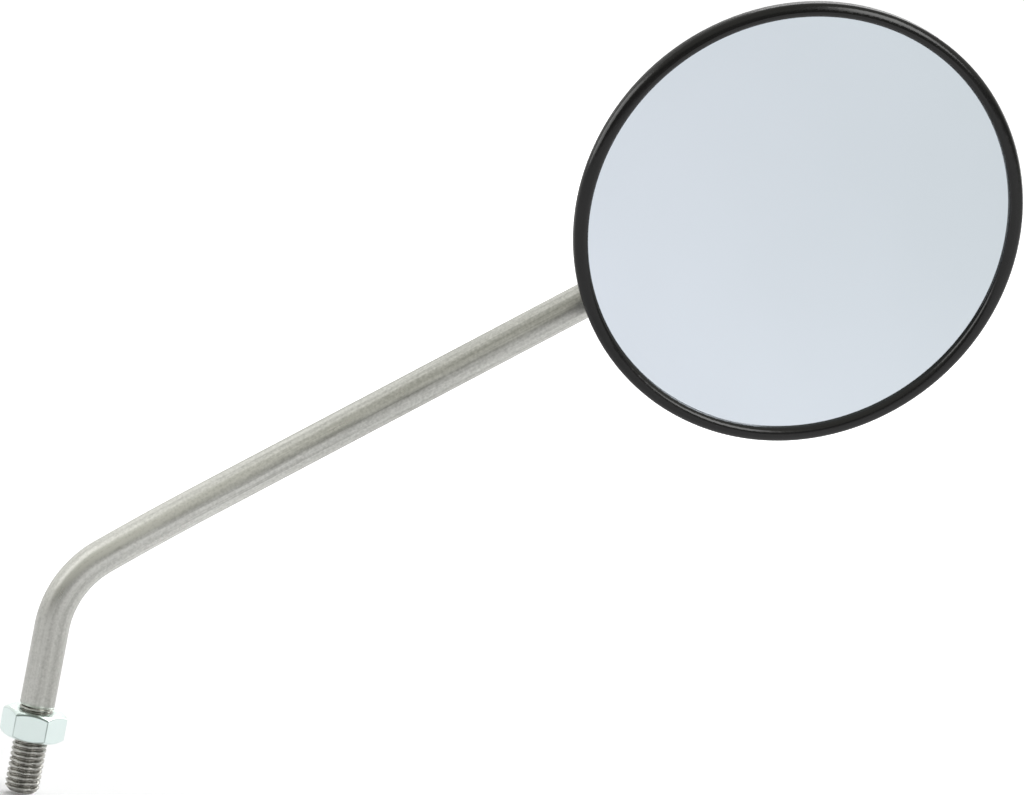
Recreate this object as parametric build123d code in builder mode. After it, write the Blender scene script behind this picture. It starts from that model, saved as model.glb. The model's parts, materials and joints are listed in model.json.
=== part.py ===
# A round handlebar mirror: a bent steel stem with an M8 thread and a lock nut at its foot, and a
# convex mirror in a black moulded shell that turns on a ball at the top of the stem.
# Millimetres. The origin is on the thread's axis at the underside of the lock nut. +Z runs up the
# thread, the stem bends toward +X and the mirror faces -Y, turned a little round the upper leg.
from build123d import *
from math import acos, cos, radians, sin, sqrt, tan
import os

os.makedirs("parts", exist_ok=True)

# Thread and lock nut
thread_diameter = 8.0
thread_pitch = 1.25
pitch_factor = 0.6495
thread_allowance = 0.1
thread_play = 0.05
stud_length = 12.65
stud_chamfer = 1.0
thread_run = 1.35
crest_land = 0.45
relief_depth = 0.5
relief_bevel = 0.3
nut_sides = 6
nut_width = 13.0
nut_height = 6.5
nut_turn = 17.3
nut_gap = 0.05
nut_face_margin = 0.35
nut_chamfer_angle = 30.0
nut_sink = 0.2

# Stem
rod_diameter = 8.0
corner_height = 38.15
corner_to_ball = 184.6
bend_angle = 50.3
bend_radius = 23.5
run_out_angle = 2.0
run_out_radius = 800.0
spigot_diameter = 6.0
spigot_depth = 3.7
spigot_chamfer = 0.4
shoulder_gap = 1.5

# Ball joint
ball_diameter = 15.0
ball_flat = 0.9
bore_play = 0.05
bore_end_gap = 0.3
socket_play = 0.08
hub_wall = 2.92
tilt_in = 8.0
tilt_out = 12.0
swing = 10.0
head_turn = 10.0
mouth_play = 0.4
mouth_spare_angle = 1.4
mouth_overrun = 1.0

# Cup, disc springs, plate and screws that press the ball into its seat
cup_radius = 8.5
cup_play = 0.1
cup_back = 4.6
cup_web = 2.0
cup_chamfer = 0.8
cup_stud_radius = 4.0
cup_stud_length = 2.0
pocket_step = 0.5
spring_radius = 8.0
spring_thickness = 0.8
spring_dish = 0.35
spring_gap = 0.04
spring_play = 0.1
plate_thickness = 1.2
plate_hole_radius = 5.0
plate_lobe_radius = 4.2
screw_count = 3
screw_circle = 18.0
screw_diameter = 2.9
screw_hole_play = 0.2
screw_pilot_play = 0.05
screw_end_gap = 0.3
screw_head_radius = 2.8
screw_head_height = 1.5
screw_head_round = 0.7
recess_length = 3.0
recess_width = 0.7
recess_depth = 0.7

# Mirror head, across its axis from the outside in
head_diameter = 105.0
skirt_set_in = 0.1
skirt_wall = 1.35
ring_play = 0.1
spigot_wall = 0.9
glass_play = 0.15
lip_lap = 0.7

# Mirror head, along its axis
pan_gap = 0.8
pan_wall = 1.8
ledge_wall = 2.67
ledge_margin = 0.9
gasket_width = 3.9
gasket_thickness = 1.2
gasket_play = 0.3
seat_gap = 0.05
glass_thickness = 2.0
glass_curve = 1200.0
glass_bevel = 0.25
stack_gap = 0.4
lip_thickness = 0.3
inner_rise = 1.1
rim_rise = 1.25
rim_band = 0.2
rim_round = 1.9
part_gap = 0.1
part_bevel = 0.15
ring_spigot_length = 1.6
ring_spigot_gap = 0.2
ridge_height = 0.2
ridge_half_width = 0.4
ridge_set_back = 0.9
skirt_land = 0.7
shoulder_round = 2.5
shoulder_turn = 40.0
edge_round = 3.0
hub_round = 3.0
collar_lead = 1.7
boss_radius = 3.2
boss_bury = 0.4
pilot_floor = 1.3
rib_count = 6
rib_thickness = 1.4
rib_height = 0.6
rib_end = 40.0
rib_bury = 0.5
rib_drop = 0.3

# Stem route: a straight lower leg, a bend, its gentle run-out and a straight upper leg
rod_radius = rod_diameter / 2
spigot_radius = spigot_diameter / 2
lean = radians(bend_angle + run_out_angle)
first_turn = radians(bend_angle)
bend_reach = bend_radius * (1 - cos(first_turn)) + run_out_radius * (cos(first_turn) - cos(lean))
bend_rise = bend_radius * sin(first_turn) + run_out_radius * (sin(lean) - sin(first_turn))
bend_start = corner_height - bend_rise + bend_reach / tan(lean)
thread_top = nut_height + nut_gap + thread_run
ball_radius = ball_diameter / 2
seat_radius = ball_radius + socket_play
hub_radius = seat_radius + hub_wall
shoulder_distance = hub_radius + shoulder_gap
upper_leg = corner_to_ball - bend_reach / sin(lean) - shoulder_distance
stem_direction = Vector(sin(lean), 0, cos(lean))
ball_centre = Vector(0, 0, corner_height) + stem_direction * corner_to_ball

# The head is turned round the upper leg, so its back points a little up.
head_angle = radians(head_turn)
leg_side = Vector(-cos(lean), 0, sin(lean))
back_direction = Vector(0, cos(head_angle), 0) + leg_side * sin(head_angle)
section_normal = leg_side * cos(head_angle) - Vector(0, sin(head_angle), 0)

# The head's section plane holds the stem's upper leg and the mirror's axis.
# Its x runs away from the stem and its y toward the back. The neck's section has y down the stem.
head_section = Plane(ball_centre, x_dir=stem_direction, z_dir=section_normal)
head_axis = Axis(ball_centre, back_direction)
neck_section = Plane(ball_centre, x_dir=back_direction, z_dir=section_normal)
stem_axis = Axis(ball_centre, stem_direction)


def facing_back(depth):
    """Plane across the mirror's axis that faces the back, at this place along the axis."""
    return Plane(ball_centre + back_direction * depth, x_dir=stem_direction, z_dir=back_direction)


def sag(curve, radius):
    """How far a sphere falls back from its top at this radius."""
    return curve - sqrt(curve**2 - radius**2)


# Radii of the head
head_radius = head_diameter / 2
skirt_radius = head_radius - skirt_set_in
skirt_inside = skirt_radius - skirt_wall
ring_spigot = skirt_inside - ring_play
ring_inside = ring_spigot - spigot_wall
glass_radius = ring_inside - glass_play
sight_radius = glass_radius - lip_lap
ledge_radius = glass_radius - ledge_margin
gasket_outside = ledge_radius - gasket_play
gasket_inside = gasket_outside - gasket_width
ledge_inside = gasket_inside - gasket_play
pocket_radius = cup_radius + cup_play

# Places along the mirror's axis, with the ball's centre at 0 and the front negative
spring_height = spring_thickness + spring_dish
cup_front = -(seat_radius + cup_web)
plate_back = cup_front - 2 * spring_height - 3 * spring_gap
plate_front = plate_back - plate_thickness
screw_front = plate_front - screw_head_height
back_curve = glass_curve - glass_thickness
pan_slope = tan(radians(tilt_in))
stem_reach = rod_radius / cos(radians(tilt_in)) + pan_gap + ledge_radius * pan_slope + ledge_wall
stack_reach = stack_gap - screw_front + sag(back_curve, screw_circle + screw_head_radius)
seat_to_apex = gasket_thickness + 2 * seat_gap + sag(back_curve, gasket_outside)
ledge = -max(stem_reach, stack_reach - seat_to_apex)
gasket_front = ledge - seat_gap - gasket_thickness
glass_back_top = ledge - seat_to_apex
glass_top = glass_back_top - glass_thickness
lip = glass_top + sag(glass_curve, sight_radius) - seat_gap
lip_front = lip - lip_thickness
rim_crown = lip_front - inner_rise
rim_equator = rim_crown + rim_rise
parting = rim_equator + rim_band
crown_radius = head_radius - rim_round
inner_round = crown_radius - sight_radius
skirt_front = parting + part_gap
skirt_end = skirt_front + skirt_land
ridge = parting + ridge_set_back
ring_end = parting + ring_spigot_length
recess_end = ring_end + ring_spigot_gap


def back_of_pan(radius):
    """The pan's back is a cone that clears the stem when the mirror is tilted in."""
    return ledge + ledge_wall + (ledge_radius - radius) * pan_slope


def floor_of_pan(radius):
    """Inner face of the pan, one wall in front of its back."""
    return back_of_pan(radius) - pan_wall / cos(radians(tilt_in))


# Stem: bent rod, threaded stud with a relief, and the spigot that carries the ball
crest_radius = (thread_diameter - thread_allowance) / 2
pitch_radius = (thread_diameter - pitch_factor * thread_pitch) / 2
relief_radius = rod_radius - relief_depth
crest_start = nut_height + nut_gap
crest_end = crest_start + crest_land
relief_start = crest_end + crest_radius - relief_radius
spigot_start = shoulder_distance - rod_radius + spigot_radius

with BuildPart() as stem:
    with BuildLine(Plane.XZ) as stem_line:
        lower_leg = Line((0, thread_top), (0, bend_start))
        bend = JernArc(lower_leg @ 1, lower_leg % 1, bend_radius, -bend_angle)
        run_out = JernArc(bend @ 1, bend % 1, run_out_radius, -run_out_angle)
        Line(run_out @ 1, (run_out @ 1) + (run_out % 1) * upper_leg)
    with BuildSketch(Plane.XY.offset(thread_top)):
        Circle(rod_radius)
    sweep(path=stem_line.line)
    with BuildSketch(Plane.XZ):
        with BuildLine():
            Polyline(
                (0, -stud_length),
                (crest_radius - stud_chamfer, -stud_length),
                (crest_radius, stud_chamfer - stud_length),
                (crest_radius, -nut_gap),
                (pitch_radius, -nut_gap),
                (pitch_radius, crest_start),
                (crest_radius, crest_start),
                (crest_radius, crest_end),
                (relief_radius, relief_start),
                (relief_radius, thread_top - relief_bevel),
                (rod_radius, thread_top),
                (0, thread_top),
                close=True,
            )
        make_face()
    revolve(axis=Axis.Z)
    with BuildSketch(neck_section):
        with BuildLine():
            Polyline(
                (0, -spigot_depth),
                (spigot_radius - spigot_chamfer, -spigot_depth),
                (spigot_radius, spigot_chamfer - spigot_depth),
                (spigot_radius, spigot_start),
                (rod_radius, shoulder_distance),
                (0, shoulder_distance),
                close=True,
            )
        make_face()
    revolve(axis=stem_axis)
stem.part.label = "stem"
export_step(stem.part, "parts/stem.step")

# Lock nut: hexagon with chamfered corners on both faces and a countersunk bore
nut_bore = pitch_radius + thread_play
nut_mouth = thread_diameter / 2 + nut_sink
nut_corner = nut_width / 2 / cos(radians(180 / nut_sides))
nut_face = nut_width / 2 - nut_face_margin
nut_slope = tan(radians(nut_chamfer_angle))
nut_corner_drop = (nut_corner - nut_face) * nut_slope
nut_mouth_drop = (nut_mouth - nut_bore) * nut_slope

with BuildPart() as lock_nut:
    with BuildSketch():
        RegularPolygon(nut_width / 2, nut_sides, major_radius=False, rotation=nut_turn + 180 / nut_sides)
    extrude(amount=nut_height)
    with BuildSketch(Plane.XZ):
        with BuildLine():
            Polyline(
                (nut_mouth, 0),
                (nut_face, 0),
                (nut_corner, nut_corner_drop),
                (nut_corner, nut_height - nut_corner_drop),
                (nut_face, nut_height),
                (nut_mouth, nut_height),
                (nut_bore, nut_height - nut_mouth_drop),
                (nut_bore, nut_mouth_drop),
                close=True,
            )
        make_face()
    revolve(axis=Axis.Z, mode=Mode.INTERSECT)
lock_nut.part.label = "lock_nut"
export_step(lock_nut.part, "parts/lock_nut.step")

# Ball: bored for the stem's spigot, with a flat where the stem goes in
flat_distance = ball_radius - ball_flat
flat_radius = sqrt(ball_radius**2 - flat_distance**2)
bore_radius = spigot_radius + bore_play
bore_end = spigot_depth + bore_end_gap

with BuildPart() as stem_ball:
    with BuildSketch(neck_section):
        with BuildLine():
            Polyline(
                (0, -ball_radius),
                (0, -bore_end),
                (bore_radius, -bore_end),
                (bore_radius, flat_distance),
                (flat_radius, flat_distance),
            )
            ThreePointArc((flat_radius, flat_distance), (ball_radius, 0), (0, -ball_radius))
        make_face()
    revolve(axis=stem_axis)
stem_ball.part.label = "stem_ball"
export_step(stem_ball.part, "parts/stem_ball.step")

# Housing: a moulded pan with a domed hub round the ball, a flared mouth for the stem, a pocket for
# the cup, bosses for the plate's screws, stiffening ribs, a ledge for the gasket and a snap groove
turn = radians(shoulder_turn)
turn_radius = skirt_radius - shoulder_round * (1 - cos(turn))
turn_end = skirt_end + shoulder_round * sin(turn)
half_turn_radius = skirt_radius - shoulder_round * (1 - cos(turn / 2))
half_turn = (half_turn_radius, skirt_end + shoulder_round * sin(turn / 2))
edge_run = (back_of_pan(turn_radius) - turn_end) / (cos(turn) - sin(turn) * pan_slope)
edge_radius = turn_radius - edge_run * sin(turn)
wall_radius = glass_radius + ring_spigot_gap
wall_end = ledge - (wall_radius - ledge_radius) / tan(turn)
collar_front = cup_front - collar_lead
groove_depth = ridge_height + part_gap
groove_half_width = ridge_half_width + part_gap
boss_end = back_of_pan(screw_circle + boss_radius) - boss_bury
pilot_end = back_of_pan(screw_circle) - pilot_floor
pilot_radius = screw_diameter / 2 + screw_pilot_play
diagonal = cos(radians(45))
hub_shoulder = (hub_radius * diagonal, hub_radius * diagonal)
seat_shoulder = (seat_radius * diagonal, seat_radius * diagonal)
mouth_tip = (tilt_out - tilt_in) / 2
mouth_half_range = (tilt_out + tilt_in) / 2
mouth_angle = radians(sqrt(mouth_half_range**2 + swing**2) + mouth_spare_angle)
mouth_length = shoulder_distance + mouth_overrun
mouth_throat = spigot_radius + mouth_play
mouth_section = Plane(neck_section * Rot(Z=-mouth_tip))
mouth_axis = Axis(ball_centre, mouth_section.y_dir)

with BuildPart() as housing:
    with BuildSketch(head_section) as pan:
        with BuildLine():
            ThreePointArc((0, hub_radius), hub_shoulder, (hub_radius, 0))
            Polyline(
                (hub_radius, 0),
                (hub_radius, back_of_pan(hub_radius)),
                (edge_radius, back_of_pan(edge_radius)),
                (turn_radius, turn_end),
            )
            ThreePointArc((turn_radius, turn_end), half_turn, (skirt_radius, skirt_end))
            Polyline(
                (skirt_radius, skirt_end),
                (skirt_radius, skirt_front + part_bevel),
                (skirt_radius - part_bevel, skirt_front),
                (skirt_inside, skirt_front),
                (skirt_inside, ridge - groove_half_width),
                (skirt_inside + groove_depth, ridge),
                (skirt_inside, ridge + groove_half_width),
                (skirt_inside, recess_end),
                (wall_radius, recess_end),
                (wall_radius, wall_end),
                (ledge_radius, ledge),
                (ledge_inside, ledge),
                (ledge_inside, floor_of_pan(ledge_inside)),
                (hub_radius, floor_of_pan(hub_radius)),
                (hub_radius, collar_front),
                (pocket_radius, collar_front),
                (pocket_radius, -pocket_step),
                (seat_radius, -pocket_step),
                (seat_radius, 0),
            )
            ThreePointArc((seat_radius, 0), seat_shoulder, (0, seat_radius))
            Line((0, seat_radius), (0, hub_radius))
        make_face()
        fillet(pan.vertices().sort_by_distance((hub_radius, back_of_pan(hub_radius)))[0], hub_round)
        fillet(pan.vertices().sort_by_distance((edge_radius, back_of_pan(edge_radius)))[0], edge_round)
    revolve(axis=head_axis)
    for rib in range(rib_count):
        with BuildSketch(head_section * Rot(Y=rib * 360 / rib_count)):
            with BuildLine():
                Polyline(
                    (hub_radius - rib_bury, floor_of_pan(hub_radius) + rib_bury),
                    (rib_end, floor_of_pan(rib_end) + rib_bury),
                    (rib_end, floor_of_pan(rib_end) - rib_height),
                    (hub_radius - rib_bury, collar_front + rib_drop),
                    close=True,
                )
            make_face()
        extrude(amount=rib_thickness / 2, both=True)
    with BuildSketch(facing_back(plate_back)):
        with PolarLocations(screw_circle, screw_count):
            Circle(boss_radius)
    extrude(amount=boss_end - plate_back)
    with BuildSketch(facing_back(plate_back)):
        with PolarLocations(screw_circle, screw_count):
            Circle(pilot_radius)
    extrude(amount=pilot_end - plate_back, mode=Mode.SUBTRACT)
    with BuildSketch(mouth_section):
        with BuildLine():
            Polyline(
                (0, 0),
                (mouth_throat, 0),
                (mouth_throat + mouth_length * tan(mouth_angle), mouth_length),
                (0, mouth_length),
                close=True,
            )
        make_face()
    revolve(axis=mouth_axis, mode=Mode.SUBTRACT)
housing.part.label = "housing"
export_step(housing.part, "parts/housing.step")

# Rim ring: a rounded bead round the glass, with a lip over its edge and a spigot that snaps into the pan
with BuildPart() as rim_ring:
    with BuildSketch(head_section):
        with BuildLine():
            Polyline(
                (head_radius, rim_equator),
                (head_radius, parting - part_bevel),
                (head_radius - part_bevel, parting),
                (ring_spigot, parting),
                (ring_spigot, ridge - ridge_half_width),
                (ring_spigot + ridge_height, ridge),
                (ring_spigot, ridge + ridge_half_width),
                (ring_spigot, ring_end),
                (ring_inside, ring_end),
                (ring_inside, lip),
                (sight_radius, lip),
                (sight_radius, lip_front),
            )
            EllipticalCenterArc((crown_radius, lip_front), inner_round, inner_rise, 180, arc_size=90)
            EllipticalCenterArc((crown_radius, rim_equator), rim_round, rim_rise, 270, arc_size=90)
        make_face()
    revolve(axis=head_axis)
rim_ring.part.label = "rim_ring"
export_step(rim_ring.part, "parts/rim_ring.step")

# Mirror glass: bulged forward, the same thickness all over, with ground edges
glass_front_edge = glass_top + sag(glass_curve, glass_radius)
glass_back_edge = glass_back_top + sag(back_curve, glass_radius)
half_glass = glass_radius / 2

with BuildPart() as mirror_glass:
    with BuildSketch(head_section) as lens:
        with BuildLine():
            ThreePointArc(
                (0, glass_top),
                (half_glass, glass_top + sag(glass_curve, half_glass)),
                (glass_radius, glass_front_edge),
            )
            Line((glass_radius, glass_front_edge), (glass_radius, glass_back_edge))
            ThreePointArc(
                (glass_radius, glass_back_edge),
                (half_glass, glass_back_top + sag(back_curve, half_glass)),
                (0, glass_back_top),
            )
            Line((0, glass_back_top), (0, glass_top))
        make_face()
        chamfer(lens.vertices().group_by(Axis.X)[-1], glass_bevel)
    revolve(axis=head_axis)
mirror_glass.part.label = "mirror_glass"
export_step(mirror_glass.part, "parts/mirror_glass.step")

# Foam gasket between the glass and the pan's ledge
with BuildPart() as glass_gasket:
    with BuildSketch(facing_back(gasket_front)):
        Circle(gasket_outside)
        Circle(gasket_inside, mode=Mode.SUBTRACT)
    extrude(amount=gasket_thickness)
glass_gasket.part.label = "glass_gasket"
export_step(glass_gasket.part, "parts/glass_gasket.step")

# Pressure cup: a dished block on the ball, with a stud that centres the springs
cup_rim = sqrt(seat_radius**2 - cup_back**2)
half_dish = acos(cup_back / seat_radius) / 2
dish_middle = (seat_radius * sin(half_dish), -seat_radius * cos(half_dish))

with BuildPart() as pressure_cup:
    with BuildSketch(head_section):
        with BuildLine():
            ThreePointArc((0, -seat_radius), dish_middle, (cup_rim, -cup_back))
            Polyline(
                (cup_rim, -cup_back),
                (cup_radius, -cup_back),
                (cup_radius, cup_front + cup_chamfer),
                (cup_radius - cup_chamfer, cup_front),
                (cup_stud_radius, cup_front),
                (cup_stud_radius, cup_front - cup_stud_length),
                (0, cup_front - cup_stud_length),
                (0, -seat_radius),
            )
        make_face()
    revolve(axis=head_axis)
pressure_cup.part.label = "pressure_cup"
export_step(pressure_cup.part, "parts/pressure_cup.step")

# Two disc springs, inner edges together, their outer edges on the cup and on the plate
spring_inside = cup_stud_radius + spring_play
spring_back = cup_front - spring_gap
spring_front = plate_back + spring_gap

with BuildPart() as disc_springs:
    with BuildSketch(head_section):
        for outer_edge, way in ((spring_back, -1), (spring_front, 1)):
            with BuildLine():
                Polyline(
                    (spring_radius, outer_edge),
                    (spring_radius, outer_edge + way * spring_thickness),
                    (spring_inside, outer_edge + way * spring_height),
                    (spring_inside, outer_edge + way * spring_dish),
                    close=True,
                )
            make_face()
    revolve(axis=head_axis)
disc_springs.part.label = "disc_springs"
export_step(disc_springs.part, "parts/disc_springs.step")

# Retainer plate: a three-cornered steel plate over the springs
with BuildPart() as retainer_plate:
    with BuildSketch(facing_back(plate_front)):
        with PolarLocations(screw_circle, screw_count):
            Circle(plate_lobe_radius)
        make_hull()
        Circle(plate_hole_radius, mode=Mode.SUBTRACT)
        with PolarLocations(screw_circle, screw_count):
            Circle(screw_diameter / 2 + screw_hole_play, mode=Mode.SUBTRACT)
    extrude(amount=plate_thickness)
retainer_plate.part.label = "retainer_plate"
export_step(retainer_plate.part, "parts/retainer_plate.step")

# Three pan-head screws with cross recesses
screw_length = pilot_end - screw_end_gap - plate_front

with BuildPart() as retainer_screws:
    with BuildSketch(facing_back(screw_front)):
        with PolarLocations(screw_circle, screw_count):
            Circle(screw_head_radius)
    extrude(amount=screw_head_height)
    fillet(retainer_screws.edges().group_by(head_axis)[0], screw_head_round)
    with BuildSketch(facing_back(plate_front)):
        with PolarLocations(screw_circle, screw_count):
            Circle(screw_diameter / 2)
    extrude(amount=screw_length)
    with BuildSketch(facing_back(screw_front)):
        with PolarLocations(screw_circle, screw_count):
            Rectangle(recess_length, recess_width)
            Rectangle(recess_width, recess_length)
    extrude(amount=recess_depth, mode=Mode.SUBTRACT)
retainer_screws.part.label = "retainer_screws"
export_step(retainer_screws.part, "parts/retainer_screws.step")
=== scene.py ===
# %% [markdown]
# # A round handlebar mirror on a bent stem
#
# The real mirror is a drawn steel rod, bent once, with a thread rolled on its foot and a ball
# pressed on its upper end. A black moulded shell turns on that ball and carries a convex glass
# under a rounded black ring.
#
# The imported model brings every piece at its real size, so this lesson adds what a solid model
# leaves out: the cut of the thread, the softened edges of the nut and the finish of each material.
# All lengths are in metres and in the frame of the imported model.

import json
import math

import bmesh
import bpy
from mathutils import Matrix, Vector


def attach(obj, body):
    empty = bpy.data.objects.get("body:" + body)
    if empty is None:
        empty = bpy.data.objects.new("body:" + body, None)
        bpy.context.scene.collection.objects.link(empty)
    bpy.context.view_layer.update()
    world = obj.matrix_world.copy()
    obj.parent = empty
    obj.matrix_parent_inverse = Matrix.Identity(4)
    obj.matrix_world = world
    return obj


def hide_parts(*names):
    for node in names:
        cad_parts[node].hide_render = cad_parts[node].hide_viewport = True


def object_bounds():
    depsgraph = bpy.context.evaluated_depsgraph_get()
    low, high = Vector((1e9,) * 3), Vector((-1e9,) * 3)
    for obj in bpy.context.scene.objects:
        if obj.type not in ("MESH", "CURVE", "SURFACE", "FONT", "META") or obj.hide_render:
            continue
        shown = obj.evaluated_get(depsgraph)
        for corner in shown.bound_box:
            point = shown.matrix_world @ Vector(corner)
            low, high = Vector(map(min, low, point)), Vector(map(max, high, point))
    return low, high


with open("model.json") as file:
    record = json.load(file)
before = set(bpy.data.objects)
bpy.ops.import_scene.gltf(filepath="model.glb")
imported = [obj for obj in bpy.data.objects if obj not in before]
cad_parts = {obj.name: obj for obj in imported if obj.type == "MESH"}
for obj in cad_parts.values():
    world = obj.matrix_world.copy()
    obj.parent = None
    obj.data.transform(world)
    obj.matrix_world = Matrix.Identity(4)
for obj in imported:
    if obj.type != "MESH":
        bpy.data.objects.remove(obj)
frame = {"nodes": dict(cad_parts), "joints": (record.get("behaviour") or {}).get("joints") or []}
cad_low, cad_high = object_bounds()
nodes = frame["nodes"]
joints = {joint["name"]: joint for joint in frame["joints"]}
print("pieces:", ", ".join(sorted(nodes)))
print("size in mm:", [round((b - a) * 1000, 1) for a, b in zip(cad_low, cad_high)])

# %% [markdown]
# ## Five small helpers
#
# Colours are written as the eye reads them on a screen, and a shader works with linear light, so
# one function turns one into the other. A second adds a node to any tree, a third puts an object
# into the scene, a fourth turns what a modifier makes into a plain mesh, and the last starts a
# material.

# %% Helpers
MM = 0.001


def linear(code):
    """Turn a screen colour such as #C8C8C4 into linear red, green, blue and alpha."""
    screen = [int(code[i:i + 2], 16) / 255 for i in (1, 3, 5)]
    return [c / 12.92 if c <= 0.04045 else ((c + 0.055) / 1.055) ** 2.4 for c in screen] + [1.0]


def add(tree, kind, inputs=None, **settings):
    """Add a node. Settings are its own properties. An input is linked to a socket or set to a value."""
    node = tree.nodes.new(kind)
    for name, value in settings.items():
        setattr(node, name, value)
    for name, value in (inputs or {}).items():
        if isinstance(value, bpy.types.NodeSocket):
            tree.links.new(value, node.inputs[name])
        else:
            node.inputs[name].default_value = value
    return node


def show(name, data):
    """Put a mesh, curve, lamp or camera into the scene as an object."""
    shown = bpy.data.objects.new(name, data)
    bpy.context.scene.collection.objects.link(shown)
    return shown


def plain_mesh(source, name):
    """Turn what the source's modifiers make into a mesh object of its own, and remove the source."""
    graph = bpy.context.evaluated_depsgraph_get()
    mesh = bpy.data.meshes.new_from_object(source.evaluated_get(graph))
    mesh.name = name
    piece = show(name, mesh)
    bpy.data.objects.remove(source)
    return piece


def start_material(name):
    """Start a material and hand back the material, its tree and its shader."""
    material = bpy.data.materials.new(name)
    material.use_nodes = True
    return material, material.node_tree, material.node_tree.nodes["Principled BSDF"]


print("middle grey on a screen is", round(linear("#808080")[0], 3), "in linear light")

# %% [markdown]
# ## Bright drawn steel for the stem
#
# The rod is pulled cold through a die, which leaves fine lines along its length, and then it is only wiped
# clean. The eye reads a satin grey with soft lengthwise streaks and a fine speckle from the pores of the
# surface. The roots of the thread get a painted shade, a darker, greyer tone, and the foot is painted a
# little darker over a few centimetres above the stud, also a painted shade.
#
# The stem's own attributes carry the pattern: `rod_place` is where a point lies along and across
# the rod as if it had never been bent, so the lines follow the bend, and `crest` is 1 on the rod,
# about two thirds on the crests of the thread and 0 in its roots.
#
# Two noises are stretched along the rod and a third is even, and they are mixed to one tone. Their
# scales are cells per metre, along the rod and then across it.

# %% Drawn steel: the grain
drawn_steel, tree, shader = start_material("bright drawn steel")
place = add(tree, "ShaderNodeAttribute", attribute_name="rod_place").outputs["Vector"]

# lines 33 mm long and 0.7 mm wide: a die's own lines are finer, and are drawn this coarse to show
line_cells = (30.0, 1500.0, 1500.0)
lines_at = add(tree, "ShaderNodeMapping", {"Vector": place, "Scale": line_cells}).outputs[0]
lines = add(tree, "ShaderNodeTexNoise", {"Vector": lines_at, "Scale": 1.0, "Detail": 3.0}).outputs["Fac"]

# streaks 110 mm long and 2 mm wide, shifted until they lie as on the real rod
streak_cells = (9.0, 520.0, 520.0)
streak_shift = (71.0, -11.8, -10.8)
streaks_at = add(
    tree,
    "ShaderNodeMapping",
    {"Vector": place, "Location": streak_shift, "Scale": streak_cells},
).outputs[0]
streaks = add(
    tree,
    "ShaderNodeTexNoise",
    {"Vector": streaks_at, "Scale": 1.0, "Detail": 1.0},
).outputs["Fac"]

# pores 0.6 mm apart
pore_cells = 1700.0
pores = add(tree, "ShaderNodeTexNoise", {"Vector": place, "Scale": pore_cells, "Detail": 2.0}).outputs["Fac"]

streak_share = 0.65
pore_share = 0.3
tone_low, tone_high = 0.37, 0.63
pulled = add(tree, "ShaderNodeMix", {"Factor": streak_share, "A": lines, "B": streaks}).outputs[0]
tone = add(tree, "ShaderNodeMix", {"Factor": pore_share, "A": pulled, "B": pores}).outputs[0]
steel = add(
    tree,
    "ShaderNodeMapRange",
    {"Value": tone, "From Min": tone_low, "From Max": tone_high},
).outputs[0]
grain = add(
    tree,
    "ShaderNodeMix",
    {"Factor": steel, "A": linear("#A8A8A3"), "B": linear("#DADAD5")},
    data_type="RGBA",
).outputs["Result"]
print("material:", drawn_steel.name, "with lines", round(1000 / line_cells[1], 2), "mm wide")

# %% [markdown]
# ## Die marks and painted shade on the steel
#
# Grit in the die leaves single dark marks several centimetres long. They are the peaks of one more stretched
# noise, so they come out rare and thin. The painted shade on the foot is a second colour that fades out with
# the distance from the end of the stud.

# %% Drawn steel: marks and painted shade
# cells 70 mm long and 0.4 mm wide
mark_cells = (14.0, 2400.0, 2400.0)
mark_from, mark_full = 0.64, 0.74
mark_depth = 0.22
marks_at = add(tree, "ShaderNodeMapping", {"Vector": place, "Scale": mark_cells}).outputs[0]
marks = add(tree, "ShaderNodeTexNoise", {"Vector": marks_at, "Scale": 1.0, "Detail": 0.0}).outputs["Fac"]
mark = add(
    tree,
    "ShaderNodeMapRange",
    {"Value": marks, "From Min": mark_from, "From Max": mark_full, "To Max": mark_depth},
).outputs[0]
marked = add(
    tree,
    "ShaderNodeMix",
    {"Factor": mark, "A": grain, "B": linear("#6B6A64")},
    data_type="RGBA",
).outputs["Result"]

# painted shade on the foot: full up to 36 mm along the line and gone at 66 mm
foot_shade_full, foot_shade_gone = 36.0 * MM, 66.0 * MM
foot_shade_depth = 0.28
length_along = add(tree, "ShaderNodeSeparateXYZ", {0: place}).outputs["X"]
foot_shade = add(
    tree,
    "ShaderNodeMapRange",
    {
        "Value": length_along,
        "From Min": foot_shade_full,
        "From Max": foot_shade_gone,
        "To Min": foot_shade_depth,
        "To Max": 0.0,
    },
).outputs[0]
foot_shaded = add(
    tree,
    "ShaderNodeMix",
    {"Factor": foot_shade, "A": marked, "B": linear("#8E8D88")},
    data_type="RGBA",
).outputs["Result"]
print("the painted shade on the foot ends", round(foot_shade_gone * 1000), "mm from the end of the stud")

# %% [markdown]
# ## Painted shade in the roots of the thread, and polish
#
# The roots get a painted shade, a dark grey that takes over where `crest` is low. The polish of the rod
# changes slowly, because it was only wiped, so another soft noise sets the roughness. The tone is also a
# relief of a few hundredths of a millimetre, which breaks up the reflections along the lines.

# %% Drawn steel: roots and polish
crest = add(tree, "ShaderNodeAttribute", attribute_name="crest").outputs["Fac"]
root_end, crest_start = 0.15, 0.8
# the roots of the thread are painted a dark grey: a painted shade in the grooves
root_shade = add(
    tree,
    "ShaderNodeMix",
    {"Factor": steel, "A": linear("#6A6863"), "B": linear("#A3A19B")},
    data_type="RGBA",
).outputs["Result"]
open_crest = add(
    tree,
    "ShaderNodeMapRange",
    {"Value": crest, "From Min": root_end, "From Max": crest_start},
).outputs[0]
coloured = add(
    tree,
    "ShaderNodeMix",
    {"Factor": open_crest, "A": root_shade, "B": foot_shaded},
    data_type="RGBA",
).outputs["Result"]
tree.links.new(coloured, shader.inputs["Base Color"])

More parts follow.
